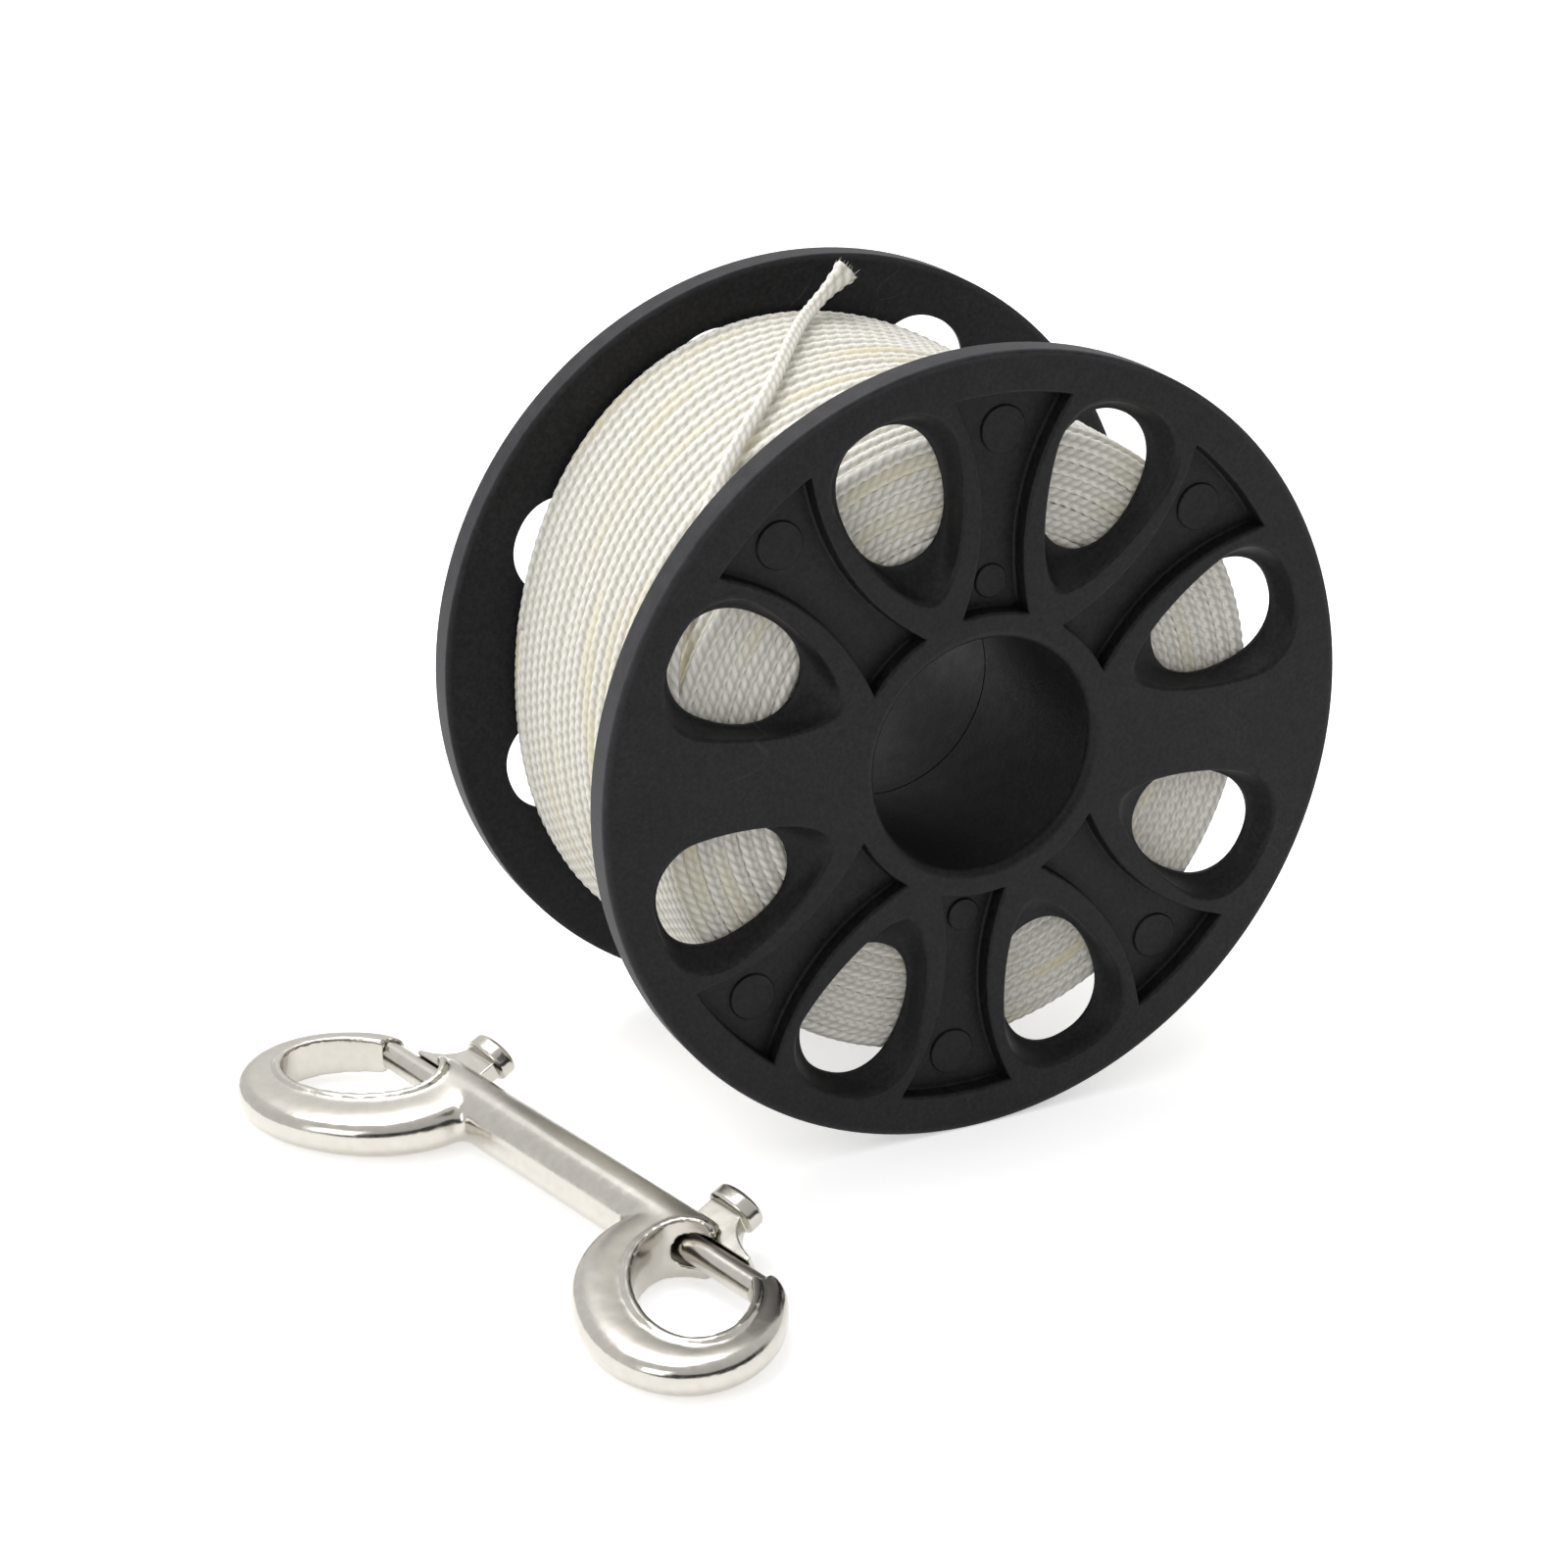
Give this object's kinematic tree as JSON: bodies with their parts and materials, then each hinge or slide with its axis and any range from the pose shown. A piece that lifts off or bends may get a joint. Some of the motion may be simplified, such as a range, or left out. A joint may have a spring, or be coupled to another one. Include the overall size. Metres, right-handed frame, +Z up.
{
  "type": "finger spool",
  "caption": "Flanged finger spool with a wide finger bore and scooped windows, wound with thick braided line, beside a double-ended bolt snap with sliding gates.",
  "frame": {"origin": "middle of the footprint of the spool and snap, on the floor", "axes": "-Y out of the spool's front flange, +Y out of its rear flange, +Z up, +X from the snap towards the spool"},
  "size_m": [0.1254, 0.0906, 0.095],
  "materials": {
    "black_plastic": "fine matt grain as moulded",
    "braided_line": "coarse cream braid, dry and slightly fuzzy",
    "polished_nickel": "tumbled and plated, bright with soft waves",
    "spring_steel": "drawn wire"
  },
  "bodies": {
    "spool": {"spool_front_half": "black_plastic", "spool_rear_half": "black_plastic", "line_core": "braided_line", "line_winding": "braided_line", "line_tail": "braided_line"},
    "snap": {"snap_body": "polished_nickel", "gate_spring_front": "spring_steel", "gate_spring_rear": "spring_steel"},
    "gate_front": {"gate_pin_front": "polished_nickel", "gate_knob_front": "polished_nickel"},
    "gate_rear": {"gate_pin_rear": "polished_nickel", "gate_knob_rear": "polished_nickel"}
  },
  "joints": [
    {"name": "snap_lift", "type": "slide", "parent": "spool", "child": "snap", "axis": [-0.7071, 0, 0.7071], "range_m": [0, 0.12]},
    {"name": "gate_front_slide", "type": "slide", "parent": "snap", "child": "gate_front", "axis": [-0.2233, 0.9748, 0], "range_m": [0, 0.0085], "stiffness_N_per_m": 300, "springref_m": -0.006, "deforming": ["gate_spring_front"]},
    {"name": "gate_rear_slide", "type": "slide", "parent": "snap", "child": "gate_rear", "axis": [0.2233, -0.9748, 0], "range_m": [0, 0.0085], "stiffness_N_per_m": 300, "springref_m": -0.006, "deforming": ["gate_spring_rear"]}
  ]
}
